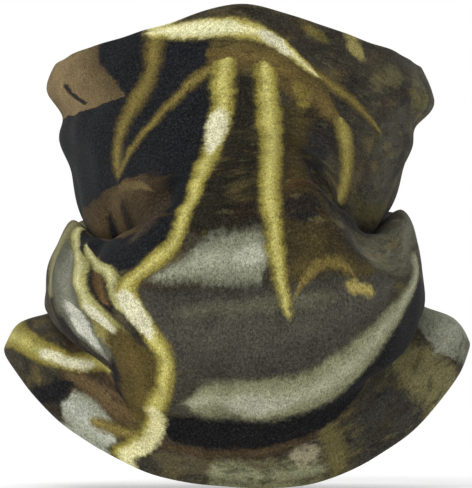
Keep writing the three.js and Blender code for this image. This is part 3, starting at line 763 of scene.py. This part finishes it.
    ("across", [(-4, 150, 0), (2, 148, 4), (8, 148, 4.4), (13, 150, 0)], [(172, 174, 156)], 5),
    ("down", [(210, -36, 0), (218, -35.6, 3), (228, -36.6, 3.4), (236, -38.4, 3.8), (246, -42, 3.8),
     (255, -47, 3.4)], [(216, 211, 164)], 4),
]:
    design = printed(design, *shape)

# The dye is deepest at the roots of the pile, wears off it in patches, and the fibres' ends scatter a little
# light even where it is dark.
DYE_DEPTH = 1.14
FIBRE_ENDS = (146, 146, 136)
bristle = use_group(dye, nap, on_cloth)
patchy = noise_of(dye, on_cloth, 0.09, detail=3)
shade = spread_of(dye, patchy, 0.0, 1.0, 0.55, 1.5, smooth=False)
tips = spread_of(dye, bristle["Tips"], 0.0, 1.0, 0.46, 1.74, smooth=False)
brightness = sum_of(dye, "MULTIPLY", shade, tips)
deep = dye.nodes.new("ShaderNodeGamma")
deep.inputs["Gamma"].default_value = DYE_DEPTH
dye.links.new(design, deep.inputs["Color"])
lit = dye.nodes.new("ShaderNodeVectorMath")
lit.operation = "SCALE"
dye.links.new(deep.outputs[0], lit.inputs[0])
dye.links.new(brightness, lit.inputs["Scale"])
pale_ends = spread_of(dye, bristle["Tips"], 0.45, 1.0, high=0.085, smooth=False)
napped = mix_of(dye, pale_ends, lit.outputs[0], paint(*FIBRE_ENDS))
pile = bump_of(dye, bristle["Height"], strength=0.8, distance=0.5 * MM)
finish_of(dye, napped, pile, roughness=0.95, sheen=0.05, specular=0.15)
shell.data.materials.append(print_material)

# ---- Inner lining ----
# The plain panel next to the skin: a thinner brushed fleece, dyed charcoal and wrapped into its own tube,
# that ends at the seams which join it to the turned-in edges of the printed one.

LINING_BACK_GAP = 0.7 * MM
CHARCOAL, WORN_CHARCOAL = (24, 25, 28), (58, 58, 60)
GRAIN = 0.6  # how much of the colour's unevenness is the nap's, the rest being wear

lining_rows = np.arange(RIM_ROWS + 1, HEM_LEG)
lining_section = np.concatenate([
    cloth_layer(LINING_OUTSIDE)[lining_rows], cloth_layer(LINING_INSIDE)[lining_rows][::-1],
])
lining_down = np.concatenate([down_flat[lining_rows], down_flat[lining_rows][::-1]])
lining = panel("plain_fleece_tube", lining_section, lining_down, LINING_BACK_GAP)
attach(lining, "root")
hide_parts("inner_lining")

lining_material, plain = new_material("plain_fleece")
on_lining = flat_place(plain)
bristle = use_group(plain, nap, on_lining)
worn = noise_of(plain, on_lining, 0.06, detail=3)
from_nap = sum_of(plain, "MULTIPLY", bristle["Tips"], GRAIN)
from_wear = sum_of(plain, "MULTIPLY", worn, 1 - GRAIN)
lightness = sum_of(plain, "ADD", from_nap, from_wear)
charcoal = mix_of(plain, lightness, paint(*CHARCOAL), paint(*WORN_CHARCOAL))
lining_pile = bump_of(plain, bristle["Height"], strength=0.8, distance=0.45 * MM)
finish_of(plain, charcoal, lining_pile, roughness=0.95, sheen=0.15, specular=0.15)
lining.data.materials.append(lining_material)

# ---- Seams ----
# Spun polyester thread, two plies twisted together. It runs in the grooves between the turned-in edges and
# the lining, and down both back seams, and small stitches bridge each groove.

THREAD_DIAMETER = 0.9 * MM
PLY_TWIST = 2.2 * MM  # along the thread for one turn of its plies
PLY_RADIUS = 0.28 * THREAD_DIAMETER
PLY_OUT = 0.24 * THREAD_DIAMETER  # from the thread's middle
TUBE_SIDES = 6
TRACK_STEP = 0.45 * MM
STITCH_LENGTH = 3.0 * MM
STITCH_DIAMETER = 0.45 * MM
STITCH_REACH = 1.3 * MM  # to either side of the groove
STITCH_SLANT = 0.5 * MM
STITCH_RISE = 0.5 * MM
STITCH_LIFT = 0.1 * MM  # of its ends off the cloth
STITCH_POINTS = 7
OLIVE_THREAD, WORN_THREAD = (44, 41, 33), (98, 92, 74)


def resampled(track, step):
    """Points evenly spaced along a line."""
    walked = np.concatenate([[0], np.cumsum(np.linalg.norm(np.diff(track, axis=0), axis=-1))])
    at = np.linspace(0, walked[-1], max(int(walked[-1] / step), 2) + 1)
    return np.stack([np.interp(at, walked, track[:, axis]) for axis in range(3)], axis=-1)


def round_a_line(track):
    """Two directions square to a line, and to each other, at each of its points."""
    ahead = unit(np.gradient(track, axis=0))
    aside = unit(np.cross(ahead, np.where(np.abs(ahead[:, 2:]) < 0.8, (0, 0, 1), (0, 1, 0))))
    return aside, np.cross(aside, ahead)


def tube(track, radius):
    """Rings of points round a line, with the faces between them and at its ends."""
    aside, above = round_a_line(track)
    turns = 2 * np.pi * np.arange(TUBE_SIDES) / TUBE_SIDES
    rings = track[:, None] + radius * (
        np.cos(turns)[None, :, None] * aside[:, None] + np.sin(turns)[None, :, None] * above[:, None]
    )
    corner = np.arange(len(track) * TUBE_SIDES).reshape(len(track), TUBE_SIDES)
    after = np.roll(corner, -1, axis=1)
    quads = np.stack([corner[:-1], corner[1:], after[1:], after[:-1]], axis=-1).reshape(-1, 4)
    return rings.reshape(-1, 3), quads.tolist() + [corner[0].tolist(), corner[-1][::-1].tolist()]


def plies(track):
    """Two plies that wind round a line."""
    track = resampled(track, TRACK_STEP)
    aside, above = round_a_line(track)
    turned = 2 * np.pi * TRACK_STEP / PLY_TWIST * np.arange(len(track))
    bodies = []
    for start in (0, np.pi):
        wound = np.cos(turned + start)[:, None] * aside + np.sin(turned + start)[:, None] * above
        bodies.append(tube(track + wound * PLY_OUT, PLY_RADIUS))
    return bodies


def bridging_stitches(track, across, out, reach=STITCH_REACH):
    """Small slanted stitches over a groove, from one side to the other."""
    bodies = []
    step = np.linalg.norm(np.diff(track, axis=0), axis=-1).mean()
    every = max(int(round(STITCH_LENGTH / step)), 1)
    from_side_to_side = np.linspace(-1, 1, STITCH_POINTS)[:, None]
    for i in range(every, len(track) - every, every):
        leaning = across[i] * reach + unit(track[i + 1] - track[i - 1]) * STITCH_SLANT
        arch = out[i] * (STITCH_RISE * (1 - from_side_to_side ** 2) + STITCH_LIFT)
        bodies.append(tube(track[i] + leaning * from_side_to_side + arch, STITCH_DIAMETER / 2))
    return bodies


thread, spun = new_material("polyester_thread")
fibres = noise_of(spun, spun.nodes.new("ShaderNodeTexCoord").outputs["Object"], 5200, stretch=(1, 1, 0.5))
spun_colour = mix_of(spun, fibres, paint(*OLIVE_THREAD), paint(*WORN_THREAD))
spun_relief = bump_of(spun, fibres, strength=0.6, distance=0.1 * MM)
finish_of(spun, spun_colour, spun_relief, roughness=0.62, sheen=0.3)


def sewn(name, node, bodies):
    """One piece of thread from its tubes, in place of a seam."""
    points, faces, first = [], [], 0
    for body_points, body_faces in bodies:
        points.append(body_points)
        faces += [[first + corner for corner in face] for face in body_faces]
        first += len(body_points)
    mesh = bpy.data.meshes.new(name)
    mesh.from_pydata(np.concatenate(points).tolist(), [], faces)
    mesh.materials.append(thread)
    piece = add_object(name, mesh)
    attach(piece, "root")
    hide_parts(node)


inside_ends = slice(1, -1)
for name, node, row in (
    ("top_edge_thread", "top_edge_seam", RIM_ROWS),
    ("hem_thread", "hem_seam", HEM_LEG - 1),
):
    between_rows = (outer_face[row] + outer_face[row + 1]) / 2
    out = unit(outward[row] + outward[row + 1])
    groove = (between_rows - out * LINING_MIDDLE)[inside_ends]
    surface = (between_rows - out * LINING_INSIDE)[inside_ends]
    stitches = bridging_stitches(surface, down_cloth[row][inside_ends], -out[inside_ends])
    sewn(name, node, plies(groove) + stitches)

SHELL_SEAM_DEPTH = 0.55 * MM  # under the printed face
SHELL_STITCH_DEPTH = 0.25 * MM
SHELL_STITCH_REACH = 1.2 * MM
back_line = (outer_face[:, 0] + outer_face[:, -1]) / 2
back_out = unit(outward[:, 0] + outward[:, -1])
around_back = np.broadcast_to(np.array([1.0, 0, 0]), back_line.shape)
shell_groove = (back_line - back_out * SHELL_SEAM_DEPTH)[inside_ends]
shell_surface = (back_line - back_out * SHELL_STITCH_DEPTH)[inside_ends]
shell_stitches = bridging_stitches(
    shell_surface, around_back[inside_ends], back_out[inside_ends], SHELL_STITCH_REACH
)
sewn("back_thread", "shell_back_seam", plies(shell_groove) + shell_stitches)

TURNING_GAP = 44 * MM  # length of the lining's back seam that is closed by hand, up from its foot
LINING_SEAM_DEPTH = 0.5 * MM  # in from the skin side
back_walk = np.concatenate([[0], np.cumsum(np.linalg.norm(np.diff(back_line, axis=0), axis=-1))])
gap_top = int(np.searchsorted(back_walk, back_walk[HEM_LEG - 1] - TURNING_GAP))
machine_sewn = slice(RIM_ROWS + 1, gap_top)
inner_line = back_line - back_out * LINING_INSIDE
lining_groove = (inner_line + back_out * LINING_SEAM_DEPTH)[machine_sewn]
lining_stitches = bridging_stitches(
    inner_line[machine_sewn], around_back[machine_sewn], -back_out[machine_sewn]
)
sewn("lining_back_thread", "lining_back_seam", plies(lining_groove) + lining_stitches)

# ---- Closing stitches ----
# The opening through which the gaiter was turned right side out, whipped shut by hand with a single thread
# that winds to and fro over the joint.

WHIP_PITCH = 5.5 * MM
WHIP_REACH = 2.2 * MM
WHIP_ROOM = 2 * MM  # at either end of the opening
WHIP_POINTS = 24  # for each turn
WHIP_RADIUS = 0.25 * MM
WHIP_LIFT = 0.55 * MM  # off the lining where it crosses the joint
WHIP_SINK = 0.5 * MM  # back into the cloth at either side
whip_turns = int((TURNING_GAP - 2 * WHIP_ROOM) / WHIP_PITCH)
whip_at = np.linspace(0, whip_turns, whip_turns * WHIP_POINTS + 1)
whip_walk = back_walk[gap_top] + WHIP_ROOM + whip_at * WHIP_PITCH
on_line = np.stack([np.interp(whip_walk, back_walk, inner_line[:, axis]) for axis in range(3)], axis=-1)
off_skin = np.stack([np.interp(whip_walk, back_walk, -back_out[:, axis]) for axis in range(3)], axis=-1)
swing = np.sin(2 * np.pi * whip_at)[:, None]
to_and_fro = np.array([1.0, 0, 0]) * WHIP_REACH * swing
whip = on_line + to_and_fro + off_skin * (WHIP_LIFT - WHIP_SINK * np.abs(swing) ** 3)
sewn("closing_thread", "turning_gap_stitch", [tube(whip, WHIP_RADIUS)])

# ---- Fibre label ----
# A blank satin ribbon, folded in two and caught in the lining's back seam. Its leaves curl a little away
# from the cloth towards the fold.

LABEL_TOP_LEVEL, LABEL_FOOT_LEVEL = 8.0, 8.5  # these count the drape's lines
LABEL_COLUMNS = slice(4, 20)
LABEL_LIFT = 0.5 * MM
LABEL_THICKNESS = 0.6 * MM  # of both leaves
RIBBON_THICKNESS = 0.12 * MM
CURL_NEAR, CURL_FAR = 0.3 * MM, 1.6 * MM  # of the front leaf off the back one, at the seam and at the fold
CURL_WAVE, CURL_TURN = 0.25 * MM, 9
BACK_LEAF_CURL = 0.4  # of the front leaf's
LABEL_WHITE, LABEL_SHEEN = (205, 203, 196), (232, 230, 224)
label_rows = slice(
    int(np.searchsorted(row_levels, LABEL_TOP_LEVEL)), int(np.searchsorted(row_levels, LABEL_FOOT_LEVEL)) + 1
)
label_face = cloth_layer(LINING_INSIDE)[label_rows, LABEL_COLUMNS]
label_out = -outward[label_rows, LABEL_COLUMNS]
reach = np.linspace(0, 1, label_face.shape[1])[None, :, None]
curl = CURL_NEAR + CURL_FAR * reach ** 2 + CURL_WAVE * np.sin(reach * CURL_TURN)
back_leaf = label_face + label_out * (LABEL_LIFT + BACK_LEAF_CURL * curl)
front_leaf = label_face + label_out * (LABEL_LIFT + LABEL_THICKNESS + curl)
end_step = label_face[:, -1:] - label_face[:, -2:-1]
fold = (back_leaf[:, -1:] + front_leaf[:, -1:]) / 2 + end_step * 0.5
ribbon = np.concatenate([back_leaf, fold, front_leaf[:, ::-1]], axis=1)
half_thick = np.concatenate([label_out, unit(end_step), -label_out[:, ::-1]], axis=1) * RIBBON_THICKNESS / 2
ribbon_ring = np.concatenate([ribbon + half_thick, (ribbon - half_thick)[::-1]])
ring, columns = ribbon_ring.shape[:2]
corner = np.arange(ring * columns).reshape(ring, columns)
after = np.roll(corner, -1, axis=0)
quads = np.stack([corner[:, :-1], corner[:, 1:], after[:, 1:], after[:, :-1]], axis=-1).reshape(-1, 4)
ribbon_faces = quads.tolist() + [face[::-1] for face in end_caps(corner)]
ribbon_mesh = bpy.data.meshes.new("blank_label")
ribbon_mesh.from_pydata(ribbon_ring.reshape(-1, 3).tolist(), [], ribbon_faces)
label = add_object("blank_label", ribbon_mesh)
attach(label, "root")
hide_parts("fibre_label")

satin, weave = new_material("label_satin")
threads = weave.nodes.new("ShaderNodeTexWave")
threads.inputs["Scale"].default_value = 900
threads.inputs["Distortion"].default_value = 0.6
weave.links.new(weave.nodes.new("ShaderNodeTexCoord").outputs["Object"], threads.inputs["Vector"])
satin_colour = mix_of(weave, threads.outputs["Fac"], paint(*LABEL_WHITE), paint(*LABEL_SHEEN))
satin_relief = bump_of(weave, threads.outputs["Fac"], strength=1.0, distance=0.04 * MM)
finish_of(weave, satin_colour, satin_relief, roughness=0.38)
ribbon_mesh.materials.append(satin)
